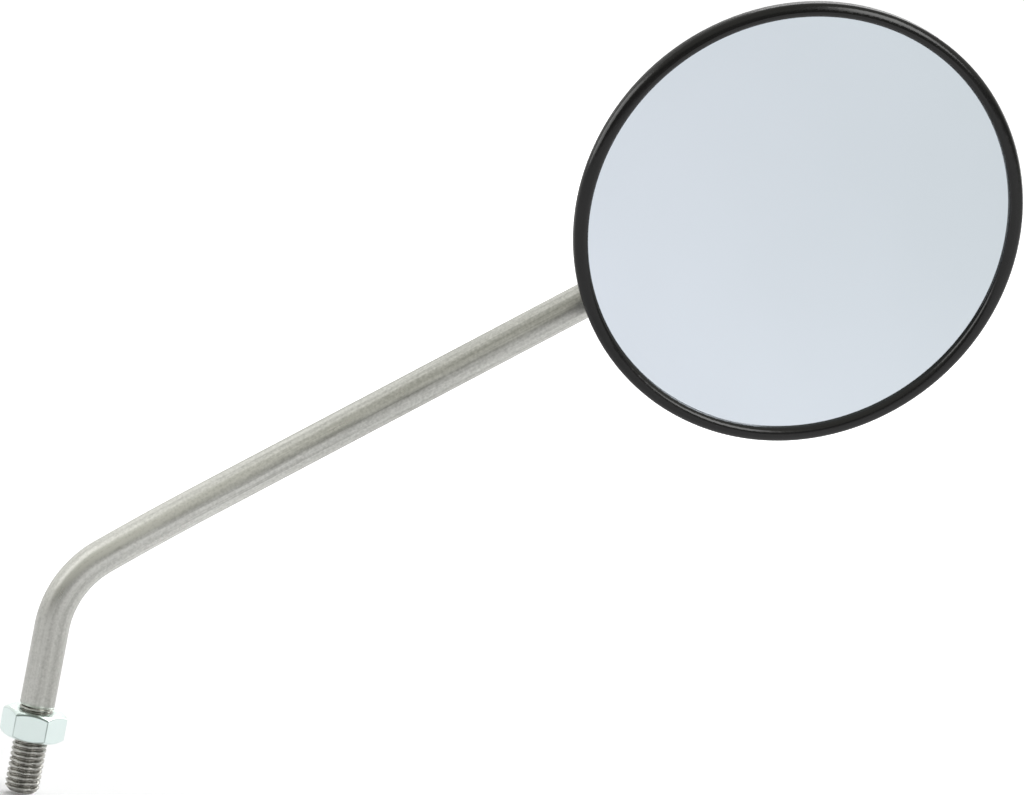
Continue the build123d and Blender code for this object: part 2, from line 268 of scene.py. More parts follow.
# clouds 17 mm long and 4 mm wide
cloud_cells = (60.0, 260.0, 260.0)
cloud_low, cloud_high = 0.3, 0.7
smoothest, roughest = 0.26, 0.4
clouds_at = add(tree, "ShaderNodeMapping", {"Vector": place, "Scale": cloud_cells}).outputs[0]
clouds = add(tree, "ShaderNodeTexNoise", {"Vector": clouds_at, "Scale": 1.0, "Detail": 2.0}).outputs["Fac"]
polish = add(
    tree,
    "ShaderNodeMapRange",
    {
        "Value": clouds,
        "From Min": cloud_low,
        "From Max": cloud_high,
        "To Min": smoothest,
        "To Max": roughest,
    },
).outputs[0]
tree.links.new(polish, shader.inputs["Roughness"])
shader.inputs["Metallic"].default_value = 1.0

line_depth = 0.02 * MM
relief = add(tree, "ShaderNodeBump", {"Height": tone, "Strength": 0.25, "Distance": line_depth}).outputs[0]
tree.links.new(relief, shader.inputs["Normal"])
print("nodes in", drawn_steel.name + ":", len(tree.nodes))

# %% [markdown]
# ## The stem's line
#
# A bender presses the straight rod round a former, so the axis is a straight foot, a tight arc, a
# short gentler run-out and a long straight leg that points at the middle of the ball. The line is
# written from those lengths, with a radius at every point: the chamfered end of the stud, the
# narrower stretch inside the nut, the chamfer above the thread, the shoulder and the thin spigot
# that the ball is pressed on.

# %% Sizes of the stem
ball_centre = Vector(joints["head_turn"]["pos_m"])
upper_leg = Vector(joints["head_turn"]["axis"]).normalized()
rod_radius = 4.0 * MM
bend_start = 26.014 * MM
bend_radius = 23.5 * MM
bend_angle = math.radians(50.3)
run_out_radius = 800.0 * MM
run_out_angle = math.radians(2.0)
shoulder = 12.0 * MM

# height and radius in mm at the foot, where the rod is turned down for the thread
foot = [
    (-12.65, 2.95),
    (-11.65, 3.95),
    (-0.05, 3.95),
    (0.1, 3.594),
    (6.4, 3.594),
    (6.55, 3.95),
    (7.3, 3.95),
    (7.45, 3.72),
    (7.98, 4.0),
]
# distance in mm before the middle of the ball, and radius in mm
spigot = ((11.0, 3.0), (-3.3, 3.0), (-3.7, 2.6))
print("bend:", round(math.degrees(bend_angle + run_out_angle), 1), "degrees")

# %% Line and radius of the stem
ring_step = 0.06
straight_count, bend_count, run_out_count, leg_count = 10, 52, 20, 40
line = []
for (z0, r0), (z1, r1) in zip(foot, foot[1:]):
    count = max(2, round((z1 - z0) / ring_step))
    for i in range(count):
        share = i / count
        line.append((0.0, (z0 + (z1 - z0) * share) * MM, (r0 + (r1 - r0) * share) * MM))
straight_start = foot[-1][0] * MM
for i in range(straight_count):
    line.append((0.0, straight_start + (bend_start - straight_start) * i / straight_count, rod_radius))
for i in range(bend_count + 1):
    turn = bend_angle * i / bend_count
    line.append((bend_radius * (1 - math.cos(turn)), bend_start + bend_radius * math.sin(turn), rod_radius))
bend_end_x, bend_end_z, _ = line[-1]
for i in range(1, run_out_count + 1):
    turn = bend_angle + run_out_angle * i / run_out_count
    x = bend_end_x + run_out_radius * (math.cos(bend_angle) - math.cos(turn))
    z = bend_end_z + run_out_radius * (math.sin(turn) - math.sin(bend_angle))
    line.append((x, z, rod_radius))
leg_start = (ball_centre - Vector((line[-1][0], 0, line[-1][1]))).length
for i in range(1, leg_count + 1):
    spot = ball_centre - upper_leg * (leg_start + (shoulder - leg_start) * i / leg_count)
    line.append((spot.x, spot.z, rod_radius))
for before_ball, radius in spigot:
    spot = ball_centre - upper_leg * before_ball * MM
    line.append((spot.x, spot.z, radius * MM))

curve = bpy.data.curves.new("stem line", "CURVE")
curve.dimensions = "3D"
spline = curve.splines.new("POLY")
spline.points.add(len(line) - 1)
for point, (x, z, radius) in zip(spline.points, line):
    point.co = (x, 0.0, z, 1.0)
    point.radius = radius / rod_radius
stem_line = show("stem line", curve)
print("points on the stem's line:", len(line))

# %% [markdown]
# ## Rod and thread by one rule
#
# The thread is rolled: hard dies press a helical groove into the turned-down end, with flanks at about 60
# degrees to each other, and on a plain stud the groove is a little uneven. A Geometry Nodes tree sweeps a
# circle along the line and then draws each point of the foot in to the radius that the helix gives at its
# height and angle, so pitch and depth stay named numbers. `Wobble` lets the groove wander a little, and one
# more input says how bright the crests stay against the painted shade in the roots.

# %% Tree for a threaded rod: the sweep
tree = bpy.data.node_groups.new("threaded rod", "GeometryNodeTree")
wanted = (
    ("Line", "NodeSocketGeometry"),
    ("Rod Radius", "NodeSocketFloat"),
    ("Sides", "NodeSocketInt"),
    ("Pitch", "NodeSocketFloat"),
    ("Crest Radius", "NodeSocketFloat"),
    ("Thread Depth", "NodeSocketFloat"),
    ("Thread Top", "NodeSocketFloat"),
    ("Rod Start", "NodeSocketFloat"),
    ("Wobble", "NodeSocketFloat"),
    ("Crest Brightness", "NodeSocketFloat"),
    ("Material", "NodeSocketMaterial"),
)
for name, kind in wanted:
    tree.interface.new_socket(name, in_out="INPUT", socket_type=kind)
tree.interface.new_socket("Rod", in_out="OUTPUT", socket_type="NodeSocketGeometry")
given = add(tree, "NodeGroupInput").outputs

along = add(tree, "GeometryNodeCaptureAttribute", {"Geometry": given["Line"]})
along.capture_items.new("FLOAT", "Along")
tree.links.new(add(tree, "GeometryNodeSplineParameter").outputs["Length"], along.inputs["Along"])
circle = add(
    tree,
    "GeometryNodeCurvePrimitiveCircle",
    {"Resolution": given["Sides"], "Radius": given["Rod Radius"]},
)
across = add(tree, "GeometryNodeCaptureAttribute", {"Geometry": circle.outputs["Curve"]})
across.capture_items.new("VECTOR", "Across")
position = add(tree, "GeometryNodeInputPosition").outputs[0]
tree.links.new(position, across.inputs["Across"])
sweep = add(
    tree,
    "GeometryNodeCurveToMesh",
    {
        "Curve": along.outputs["Geometry"],
        "Profile Curve": across.outputs["Geometry"],
        "Scale": add(tree, "GeometryNodeInputRadius").outputs[0],
        "Fill Caps": True,
    },
)
print("inputs of the tree:", ", ".join(name for name, kind in wanted))

# %% [markdown]
# ## The groove
#
# Height over pitch, less the turn round the axis, grows by one from groove to groove. A triangle
# wave of it is 0 in the middle of a crest and a half in the middle of a root, and a range cut out of
# the wave leaves a flat crest, a flank and a flat root.

# %% Tree for a threaded rod: the groove
crest_share, root_share = 0.28, 0.16
wobble_cells = 700.0
xyz = add(tree, "ShaderNodeSeparateXYZ", {0: position}).outputs
angle = add(tree, "ShaderNodeMath", {0: xyz["Y"], 1: xyz["X"]}, operation="ARCTAN2").outputs[0]
turns = add(tree, "ShaderNodeMath", {0: angle, 1: 2 * math.pi}, operation="DIVIDE").outputs[0]
climb = add(tree, "ShaderNodeMath", {0: xyz["Z"], 1: given["Pitch"]}, operation="DIVIDE").outputs[0]
helix = add(tree, "ShaderNodeMath", {0: climb, 1: turns}, operation="SUBTRACT").outputs[0]
rough = add(
    tree,
    "ShaderNodeTexNoise",
    {"Vector": position, "Scale": wobble_cells, "Detail": 1.0},
).outputs["Fac"]
sway = add(tree, "ShaderNodeMath", {0: rough, 1: 0.5}, operation="SUBTRACT").outputs[0]
shift = add(tree, "ShaderNodeMath", {0: sway, 1: given["Wobble"]}, operation="MULTIPLY").outputs[0]
phase = add(tree, "ShaderNodeMath", {0: helix, 1: shift}, operation="ADD").outputs[0]
wave = add(tree, "ShaderNodeMath", {0: phase, 1: 0.5}, operation="PINGPONG").outputs[0]
groove = add(
    tree,
    "ShaderNodeMapRange",
    {"Value": wave, "From Min": crest_share / 2, "From Max": 0.5 - root_share / 2},
).outputs["Result"]
drop = add(tree, "ShaderNodeMath", {0: groove, 1: given["Thread Depth"]}, operation="MULTIPLY").outputs[0]
cut = add(tree, "ShaderNodeMath", {0: given["Crest Radius"], 1: drop}, operation="SUBTRACT").outputs[0]
flat = add(tree, "ShaderNodeCombineXYZ", {"X": xyz["X"], "Y": xyz["Y"]}).outputs[0]
now = add(tree, "ShaderNodeVectorMath", {0: flat}, operation="LENGTH").outputs["Value"]
least = add(tree, "ShaderNodeMath", {0: now, 1: cut}, operation="MINIMUM").outputs[0]
ratio = add(tree, "ShaderNodeMath", {0: least, 1: now}, operation="DIVIDE").outputs[0]
draw_in = add(tree, "ShaderNodeCombineXYZ", {"X": ratio, "Y": ratio, "Z": 1.0}).outputs[0]
drawn = add(tree, "ShaderNodeVectorMath", {0: position, 1: draw_in}, operation="MULTIPLY").outputs["Vector"]
below = add(
    tree,
    "FunctionNodeCompare",
    {"A": xyz["Z"], "B": given["Thread Top"]},
    operation="LESS_THAN",
).outputs[0]
threaded = add(
    tree,
    "GeometryNodeSetPosition",
    {"Geometry": sweep.outputs[0], "Selection": below, "Position": drawn},
).outputs[0]
print("share of the pitch: crest", crest_share, "and root", root_share)

# %% [markdown]
# ## What the steel reads from the rod
#
# The sweep knows how far along the line and where on the circle each point lies, which is its place
# on the rod before bending. That is stored as `rod_place`, and how far a point lies out of the groove
# is stored as `crest`. The tree ends in a plain mesh with its material.

# %% Tree for a threaded rod: attributes and end
spread = add(tree, "ShaderNodeSeparateXYZ", {0: across.outputs["Across"]}).outputs
unbent = add(
    tree,
    "ShaderNodeCombineXYZ",
    {"X": along.outputs["Along"], "Y": spread["X"], "Z": spread["Y"]},
).outputs[0]
placed = add(
    tree,
    "GeometryNodeStoreNamedAttribute",
    {"Geometry": threaded, "Name": "rod_place", "Value": unbent},
    data_type="FLOAT_VECTOR",
).outputs[0]
above = add(
    tree,
    "FunctionNodeCompare",
    {"A": xyz["Z"], "B": given["Rod Start"]},
    operation="GREATER_THAN",
).outputs[0]
# the crests keep most of their brightness and take a little of the painted shade of the roots
unshaded_share = add(tree, "ShaderNodeMath", {0: given["Crest Brightness"], 1: above}, operation="MAXIMUM").outputs[0]
groove_here = add(tree, "ShaderNodeMath", {0: groove, 1: below}, operation="MULTIPLY").outputs[0]
out = add(tree, "ShaderNodeMath", {0: 1.0, 1: groove_here}, operation="SUBTRACT").outputs[0]
crown = add(tree, "ShaderNodeMath", {0: out, 1: unshaded_share}, operation="MULTIPLY").outputs[0]
crowned = add(
    tree,
    "GeometryNodeStoreNamedAttribute",
    {"Geometry": placed, "Name": "crest", "Value": crown},
    data_type="FLOAT",
).outputs[0]
whole = add(tree, "GeometryNodeRealizeInstances", {"Geometry": crowned}).outputs[0]
smooth = add(tree, "GeometryNodeSetShadeSmooth", {"Geometry": whole}).outputs[0]
finish = add(
    tree,
    "GeometryNodeSetMaterial",
    {"Geometry": smooth, "Material": given["Material"]},
).outputs[0]
add(tree, "NodeGroupOutput", {"Rod": finish})
print("nodes in the tree:", len(tree.nodes))

# %% [markdown]
# ## The stem itself
#
# The tree is put on the line as a modifier, and each input is set by its socket's identifier. The
# result becomes a plain mesh, with a sharp edge kept wherever two faces meet at more than 50 degrees,
# as they do in the thread. It rides on the stem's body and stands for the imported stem.

# %% Sweep the stem
values = {
    "Rod Radius": rod_radius,
    "Sides": 96,
    "Pitch": 1.25 * MM,
    "Crest Radius": 3.95 * MM,
    "Thread Depth": 0.62 * MM,
    "Thread Top": 7.6 * MM,
    "Rod Start": 7.4 * MM,
    "Wobble": 0.5,
    # how bright the crests stay against the painted shade in the roots
    "Crest Brightness": 0.66,
    "Material": drawn_steel,
}
modifier = stem_line.modifiers.new("threaded rod", "NODES")
modifier.node_group = tree
for item in tree.interface.items_tree:
    if item.name in values:
        modifier[item.identifier] = values[item.name]
stem = plain_mesh(stem_line, "bent_stem")
stem.data.set_sharp_from_angle(angle=math.radians(50))
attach(stem, "stem")
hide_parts("stem")
print("stem:", len(stem.data.polygons), "faces, attributes", [a.name for a in stem.data.attributes])

# %% [markdown]
# ## Bright zinc for the nut and the small hardware
#
# The nut is plated with zinc and dipped in a bluish passivate, which gives a pale, cool, slightly green
# sheen that is brighter than the bare rod. Tumbling in the plating barrel leaves faint soft blotches, so
# tone and polish change gently over a few millimetres. The edges get a painted shade in a dark grey: the
# nut's attribute `edge` says where, and a coarser noise makes it uneven.

# %% Zinc plate
zinc, tree, shader = start_material("bright zinc plate")
where = add(tree, "ShaderNodeTexCoord").outputs["Object"]
# blotches 3 mm across
blotch_cells = 350.0
smoothest, roughest = 0.18, 0.28
blotch = add(
    tree,
    "ShaderNodeTexNoise",
    {"Vector": where, "Scale": blotch_cells, "Detail": 2.0},
).outputs["Fac"]
sheen = add(
    tree,
    "ShaderNodeMix",
    {"Factor": blotch, "A": linear("#E8F6F2"), "B": linear("#F0FCFA")},
    data_type="RGBA",
).outputs["Result"]

# patches of painted shade 6 mm across, shifted until the upper rim of the most shaded flats gets the most of
# them
shade_patch_cells = (160.0, 160.0, 160.0)
shade_patch_shift = (-0.7, 7.8, 18.4)
shade_patch_low, shade_patch_high = 0.35, 0.65
least_edge_shade, most_edge_shade = 0.2, 0.85
edge_shade = add(tree, "ShaderNodeAttribute", attribute_name="edge").outputs["Fac"]
shade_patches_at = add(
    tree,
    "ShaderNodeMapping",
    {"Vector": where, "Location": shade_patch_shift, "Scale": shade_patch_cells},
).outputs[0]
shade_patches = add(tree, "ShaderNodeTexNoise", {"Vector": shade_patches_at, "Scale": 1.0, "Detail": 2.0}).outputs["Fac"]
uneven = add(
    tree,
    "ShaderNodeMapRange",
    {
        "Value": shade_patches,
        "From Min": shade_patch_low,
        "From Max": shade_patch_high,
        "To Min": least_edge_shade,
        "To Max": most_edge_shade,
    },
).outputs[0]
edge_shade_here = add(tree, "ShaderNodeMath", {0: edge_shade, 1: uneven}, operation="MULTIPLY").outputs[0]
# the edges are painted a dark grey: a painted shade
edge_shaded = add(
    tree,
    "ShaderNodeMix",
    {"Factor": edge_shade_here, "A": sheen, "B": linear("#5E6C67")},
    data_type="RGBA",
).outputs["Result"]
tree.links.new(edge_shaded, shader.inputs["Base Color"])
polish = add(
    tree,
    "ShaderNodeMapRange",
    {"Value": blotch, "To Min": smoothest, "To Max": roughest},
).outputs[0]
tree.links.new(polish, shader.inputs["Roughness"])
shader.inputs["Metallic"].default_value = 1.0
print("material:", zinc.name)

# %% [markdown]
# ## The lock nut
#
# A hexagon nut is pressed hot or cold and then turned on both faces at 30 degrees, which cuts the
# corners back in a curved line on every flat. The nut is drawn as columns round its axis. Each
# column runs from the bore over the lower face, the chamfer, the flat and back over the top, so the
# curved line falls out of the rule, and every corner gets a small radius.
#
# One pair of flats gets a painted shade along its edges, most of all along its upper rim, and the other
# flats get less of it.

# %% Sizes and rules of the nut
nut_height = 6.5 * MM
nut_half_width = 6.5 * MM
nut_turn = math.radians(17.3)
nut_face_radius = 6.15 * MM
nut_mouth_radius = 4.2 * MM
nut_bore_radius = 3.644 * MM
nut_edge = 0.14 * MM
edge_steps = 3
corner_round = 0.35 * MM
slope = math.tan(math.radians(30))
# width and spread of the painted shade at the edges, and how much of it each flat and the upper rim get
edge_shade_width = 0.3 * MM
corner_shade_degrees = 2.0
side_depth = 0.1 * MM
flat_shade = (0.3, 1.0, 0.3, 0.3, 1.0, 0.3)
upper_rim_shade = 2.6


def hexagon_reach(offset):
    """Distance from the axis to the rounded hexagon, at an angle from the middle of a flat."""
    corner = (nut_half_width - corner_round) / math.cos(math.pi / 6)
    turn = math.pi / 6 - abs(offset)
    straight = nut_half_width / math.cos(offset)
    if straight * math.sin(turn) > corner_round / 2:
        return straight
    return corner * math.cos(turn) + math.sqrt(corner_round**2 - (corner * math.sin(turn)) ** 2)


def rounded(points, reach, steps):
    """Replace each inner corner of an open line by a small curve that stays clear of its neighbours."""
    most_share = 0.45
    smooth_line = [points[0]]
    for before, corner, after in zip(points, points[1:], points[2:]):
        back = (before - corner).normalized() * min(reach, (before - corner).length * most_share)
        ahead = (after - corner).normalized() * min(reach, (after - corner).length * most_share)
        for i in range(steps + 1):
            t = i / steps
            smooth_line.append(corner + back * (1 - t) ** 2 + ahead * t**2)
    return smooth_line + [points[-1]]


def piece_from(shape, name, material):
    """Turn a drawn shape into a smooth piece of one material."""
    bmesh.ops.recalc_face_normals(shape, faces=shape.faces)
    mesh = bpy.data.meshes.new(name)
    shape.to_mesh(mesh)
    shape.free()
    mesh.shade_smooth()
    mesh.materials.append(material)
    return show(name, mesh)


corner_reach = hexagon_reach(math.radians(30))
print("nut:", round(corner_reach * 2000, 2), "mm over the rounded corners")

# %% Nut by columns
half_offsets = [30, 29, 28, 27, 26, 25, 23, 20, 16, 12, 8, 4]
offsets = [-a for a in half_offsets] + [0] + half_offsets[:0:-1]
sink = (nut_mouth_radius - nut_bore_radius) * slope
columns = []
edge_shades = []
for side in range(6):
    for offset in offsets:
        reach = hexagon_reach(math.radians(offset))
        drop = (reach - nut_face_radius) * slope
        half = [
            Vector((nut_bore_radius, nut_height / 2)),
            Vector((nut_bore_radius, sink)),
            Vector((nut_mouth_radius, 0.0)),
            Vector((nut_face_radius, 0.0)),
            Vector((reach, drop)),
            Vector((reach, drop + edge_shade_width)),
            Vector((reach, nut_height / 2)),
        ]
        lower = rounded(half, nut_edge, edge_steps)
        upper = [Vector((p.x, nut_height - p.y)) for p in reversed(lower)]
        profile = lower + upper[1:-1]
        columns.append((nut_turn + math.radians(60 * side + offset), profile))

        # a column on a corner takes the painted shade of the more shaded of its two flats
        wear_and_shade = max(flat_shade[side], flat_shade[side - 1]) if offset == -30 else flat_shade[side]
        corner_shade = max(0.0, 1.0 - (30 - abs(offset)) / corner_shade_degrees)
        for p in profile:
            to_rim = abs(min(p.y, nut_height - p.y) - drop)
            on_side = p.x > reach - side_depth
            rim_shade = max(0.0, 1.0 - to_rim / edge_shade_width) if p.x > nut_face_radius else 0.0
            # the upper rim gets the most painted shade
            if p.y > nut_height / 2:
                rim_shade = min(1.0, rim_shade * upper_rim_shade)
            edge_shades.append(wear_and_shade * max(corner_shade if on_side else 0.0, rim_shade))

shape = bmesh.new()
rows = []
for turn, profile in columns:
    rows.append([shape.verts.new((p.x * math.cos(turn), p.x * math.sin(turn), p.y)) for p in profile])
for left, right in zip(rows, rows[1:] + rows[:1]):
    for i in range(len(left)):
        j = (i + 1) % len(left)
        shape.faces.new((left[i], right[i], right[j], left[j]))
nut = piece_from(shape, "hexagon_nut", zinc)
nut.data.attributes.new("edge", "FLOAT", "POINT").data.foreach_set("value", edge_shades)
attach(nut, "nut")
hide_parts("lock_nut")
print("nut:", len(nut.data.polygons), "faces")

# %% [markdown]
# ## Black plastic for the ring and the shell
#
# Both are moulded in ABS or a plastic like it. The ring comes out of a polished tool, so it is
# semi-gloss and shows thin bright lines of the lamps on its bead. The shell comes out of an eroded
# tool with a fine grain, which spreads the light to a soft dark grey. A slow noise varies tone and
# polish on both, and the grain of the shell is a relief of small pits, drawn coarse enough to show.

# %% Ring
ring_black, tree, shader = start_material("semi-gloss black plastic")
where = add(tree, "ShaderNodeTexCoord").outputs["Object"]
# patches of wear 11 mm across
wear_cells = 90.0
smoothest, roughest = 0.13, 0.24
wear_and_shade = add(tree, "ShaderNodeTexNoise", {"Vector": where, "Scale": wear_cells, "Detail": 4.0}).outputs["Fac"]
shade = add(
    tree,
    "ShaderNodeMix",
    {"Factor": wear_and_shade, "A": linear("#070707"), "B": linear("#0C0C0C")},
    data_type="RGBA",
).outputs["Result"]
tree.links.new(shade, shader.inputs["Base Color"])
polish = add(
    tree,
    "ShaderNodeMapRange",
    {"Value": wear_and_shade, "To Min": smoothest, "To Max": roughest},
).outputs[0]
tree.links.new(polish, shader.inputs["Roughness"])
shader.inputs["Specular IOR Level"].default_value = 0.42
print("material:", ring_black.name)

# %% Shell
shell_black, tree, shader = start_material("fine grained black plastic")
where = add(tree, "ShaderNodeTexCoord").outputs["Object"]
# pits 0.6 mm apart, and patches of wear 17 mm across
pit_cells = 1600.0
pit_depth = 0.08 * MM
wear_cells = 60.0
smoothest, roughest = 0.42, 0.55
pits = add(tree, "ShaderNodeTexVoronoi", {"Vector": where, "Scale": pit_cells}).outputs["Distance"]
relief = add(tree, "ShaderNodeBump", {"Height": pits, "Strength": 0.35, "Distance": pit_depth}).outputs[0]
tree.links.new(relief, shader.inputs["Normal"])
wear_and_shade = add(tree, "ShaderNodeTexNoise", {"Vector": where, "Scale": wear_cells, "Detail": 3.0}).outputs["Fac"]
shade = add(
    tree,
    "ShaderNodeMix",
    {"Factor": wear_and_shade, "A": linear("#151515"), "B": linear("#202020")},
    data_type="RGBA",
).outputs["Result"]
tree.links.new(shade, shader.inputs["Base Color"])
polish = add(
    tree,
    "ShaderNodeMapRange",
    {"Value": wear_and_shade, "To Min": smoothest, "To Max": roughest},
).outputs[0]
tree.links.new(polish, shader.inputs["Roughness"])
print("material:", shell_black.name)

# %% [markdown]
# ## Silvered glass
#
# The glass is bent to a large radius and silvered on its back. The silver takes a little of the red away, so
# what it shows is slightly blue. The tint is painted a little darker toward the far side of the head, a
# painted reflection. A trace of haze keeps it from looking like a cut-out.

# %% Mirror
silver, tree, shader = start_material("silvered glass")
where = add(tree, "ShaderNodeTexCoord").outputs["Object"]
# clouds of haze 40 mm across
haze_cells = 25.0
haze_share = 0.25
smoothest, roughest = 0.01, 0.03
# half the span over which the tint is painted darker, a painted reflection
reflection_half_span = 60 * MM
haze = add(tree, "ShaderNodeTexNoise", {"Vector": where, "Scale": haze_cells, "Detail": 2.0}).outputs["Fac"]
along_head = add(
    tree,
    "ShaderNodeVectorMath",
    {0: where, 1: upper_leg},
    operation="DOT_PRODUCT",
).outputs["Value"]
glass_middle = ball_centre.dot(upper_leg)
# painted reflection: the tint darkens toward the far side of the head
darker_reflection = add(
    tree,
    "ShaderNodeMapRange",
    {
        "Value": along_head,
        "From Min": glass_middle - reflection_half_span,
        "From Max": glass_middle + reflection_half_span,
    },
).outputs[0]
reflection_and_haze = add(tree, "ShaderNodeMix", {"Factor": haze_share, "A": darker_reflection, "B": haze}).outputs[0]
tint = add(
    tree,
    "ShaderNodeMix",
    {"Factor": reflection_and_haze, "A": linear("#ECF3FD"), "B": linear("#D6DFE4")},
    data_type="RGBA",
).outputs["Result"]
tree.links.new(tint, shader.inputs["Base Color"])
polish = add(
    tree,
    "ShaderNodeMapRange",
    {"Value": haze, "To Min": smoothest, "To Max": roughest},
).outputs[0]
tree.links.new(polish, shader.inputs["Roughness"])
shader.inputs["Metallic"].default_value = 1.0
print("material:", silver.name)

# %% [markdown]
# ## The convex glass
#
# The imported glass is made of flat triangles, and a mirror shows every one of them as a break in what
# it reflects. So the glass is drawn again at the same place and size, as fine rings on the ball of
# its curve with a small bevel at the edge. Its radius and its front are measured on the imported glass.

# %% Place and curve of the glass
head_back = Vector(joints["head_swing"]["axis"]).normalized()
head_axes = Matrix((upper_leg, head_back, upper_leg.cross(head_back))).transposed()
solid = nodes["mirror_glass"]
into_head = head_axes.inverted()
own_places = [into_head @ (solid.matrix_world @ v.co - ball_centre) for v in solid.data.vertices]
glass_radius = max(math.hypot(p.x, p.z) for p in own_places)
glass_front = min(p.y for p in own_places)
glass_end = max(p.y for p in own_places)
glass_curve = 1200.0 * MM
glass_thickness = 2.0 * MM
glass_bevel = 0.25 * MM


def sag(radius):
    """How far the ball of the glass's curve has fallen back at a distance from the middle."""
    return glass_curve - math.sqrt(glass_curve**2 - radius**2)


print("glass:", round(glass_radius * 2000, 2), "mm across, front at", round(glass_front * 1000, 3), "mm")

# %% Convex glass
ring_count = 24
side_count = 192
radii = [glass_radius * i / ring_count for i in range(1, ring_count)] + [glass_radius - glass_bevel]
face_line = [(r, glass_front + sag(r)) for r in radii]
edge_line = [
    (glass_radius, glass_front + sag(glass_radius) + glass_bevel),
    (glass_radius, glass_end - glass_bevel),
]
back_line = [(r, y + glass_thickness) for r, y in reversed(face_line)]
side_turns = [2 * math.pi * i / side_count for i in range(side_count)]
shape = bmesh.new()
rings = []
for r, y in face_line + edge_line + back_line:
    places = [Vector((r * math.cos(turn), y, r * math.sin(turn))) for turn in side_turns]
    rings.append([shape.verts.new(ball_centre + head_axes @ spot) for spot in places])
for inner_ring, outer_ring in zip(rings, rings[1:]):
    for i in range(side_count):
        j = (i + 1) % side_count
        shape.faces.new((inner_ring[i], inner_ring[j], outer_ring[j], outer_ring[i]))
for depth, ring in ((glass_front, rings[0]), (glass_front + glass_thickness, rings[-1])):
    pole = shape.verts.new(ball_centre + head_back * depth)
    for i in range(side_count):
        shape.faces.new((pole, ring[i], ring[(i + 1) % side_count]))
glass = piece_from(shape, "convex_glass", silver)
glass.data.set_sharp_from_angle(angle=math.radians(30))
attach(glass, "head")
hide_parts("mirror_glass")
print("glass:", len(glass.data.polygons), "faces")

# %% [markdown]
# ## The pieces inside the head
#
# Foam, a pale moulded cup, blackened disc springs and a ground ball sit behind the glass. They show
# only through the mouth of the shell or when the head is taken apart, but each still gets the
# surface of its own process: one noise, as fine as its cells, its pores or its grinding, varies its
# tone and its polish.

# %% Inner materials
# slot, material, darker and lighter tone, cells per metre, smoothest, roughest, metallic
plan = (
    ("foam", "closed cell foam", "#161616", "#262626", 900.0, 0.85, 0.95, 0.0),
    ("cup_plastic", "natural acetal", "#DCDAD0", "#E6E4DA", 300.0, 0.4, 0.5, 0.0),
    ("spring_steel", "blackened spring steel", "#3B3B3E", "#4A4A4D", 500.0, 0.38, 0.5, 1.0),
    ("ball_steel", "ground steel", "#A9A9A7", "#BDBDBB", 700.0, 0.18, 0.28, 1.0),
)
inner = {}
for slot, name, dark, light, cells, smoothest, roughest, metallic in plan:
    material, tree, shader = start_material(name)
    where = add(tree, "ShaderNodeTexCoord").outputs["Object"]
    noise = add(tree, "ShaderNodeTexNoise", {"Vector": where, "Scale": cells, "Detail": 3.0}).outputs["Fac"]
    shade = add(
        tree,
        "ShaderNodeMix",
        {"Factor": noise, "A": linear(dark), "B": linear(light)},
        data_type="RGBA",
    ).outputs["Result"]
    tree.links.new(shade, shader.inputs["Base Color"])
    polish = add(
        tree,
        "ShaderNodeMapRange",
        {"Value": noise, "To Min": smoothest, "To Max": roughest},
    ).outputs[0]
    tree.links.new(polish, shader.inputs["Roughness"])
    shader.inputs["Metallic"].default_value = metallic
    inner[slot] = material
print("materials:", ", ".join(material.name for material in inner.values()))

# %% [markdown]
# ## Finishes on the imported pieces
#
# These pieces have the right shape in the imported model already, so they stay as they are and only
# get their finish. The plate and the screws are zinc plated like the nut.

# %% Dress the carried-over pieces
dress = {
    "housing": shell_black,
    "rim_ring": ring_black,
    "glass_gasket": inner["foam"],
    "pressure_cup": inner["cup_plastic"],
    "disc_springs": inner["spring_steel"],
    "stem_ball": inner["ball_steel"],
    "retainer_plate": zinc,
    "retainer_screws": zinc,
}
for name, material in dress.items():
    nodes[name].material_slots[0].material = material
print("dressed:", ", ".join(dress))

# %% [markdown]
# ## Studio floor
#
# A sheet of pale paper lies under the stud and runs far back, and it ends a little way in front, as
# on a table. The camera sees white all round, because the paper glows a little for it away from the
# object. Close to the object it hardly glows, so it keeps the shadow.

# %% Floor
floor_level = cad_low.z - 1.0 * MM
floor_front = -0.72
floor_reach = 6.0
glow_start, glow_end = 0.05, 0.5
least_glow, most_glow = 0.08, 0.6
corners = [
    (-floor_reach, floor_front, floor_level),
    (floor_reach, floor_front, floor_level),
    (floor_reach, floor_reach, floor_level),
    (-floor_reach, floor_reach, floor_level),
]
floor_mesh = bpy.data.meshes.new("floor")
floor_mesh.from_pydata(corners, [], [(0, 1, 2, 3)])
floor = show("floor", floor_mesh)
paper, tree, shader = start_material("pale paper")
shader.inputs["Base Color"].default_value = linear("#F4F4F4")
shader.inputs["Roughness"].default_value = 0.9
shader.inputs["Specular IOR Level"].default_value = 0.0
shader.inputs["Emission Color"].default_value = linear("#FFFFFF")
where = add(tree, "ShaderNodeTexCoord").outputs["Object"]
away = add(tree, "ShaderNodeVectorMath", {0: where}, operation="LENGTH").outputs["Value"]
glow = add(
    tree,
    "ShaderNodeMapRange",
    {
        "Value": away,
        "From Min": glow_start,
        "From Max": glow_end,
        "To Min": least_glow,
        "To Max": most_glow,
    },
).outputs[0]
rays = add(tree, "ShaderNodeLightPath").outputs
seen_glow = add(tree, "ShaderNodeMath", {0: glow, 1: rays["Is Camera Ray"]}, operation="MULTIPLY").outputs[0]
tree.links.new(seen_glow, shader.inputs["Emission Strength"])
floor_mesh.materials.append(paper)
print("floor at", round(floor_level * 1000, 2), "mm")

# %% [markdown]
# ## Surroundings
#
# The camera looks past the object into plain white. Reflections see white behind the object and a
# dim room in front of it, darker below than above, which is what draws the dark streak along the
# rod. Matt surfaces get less of the white, so that the lamps and not the world model the shapes.

# %% Surroundings
front_end, back_start = -0.5, 0.2
lowest, highest = -0.1, 0.9
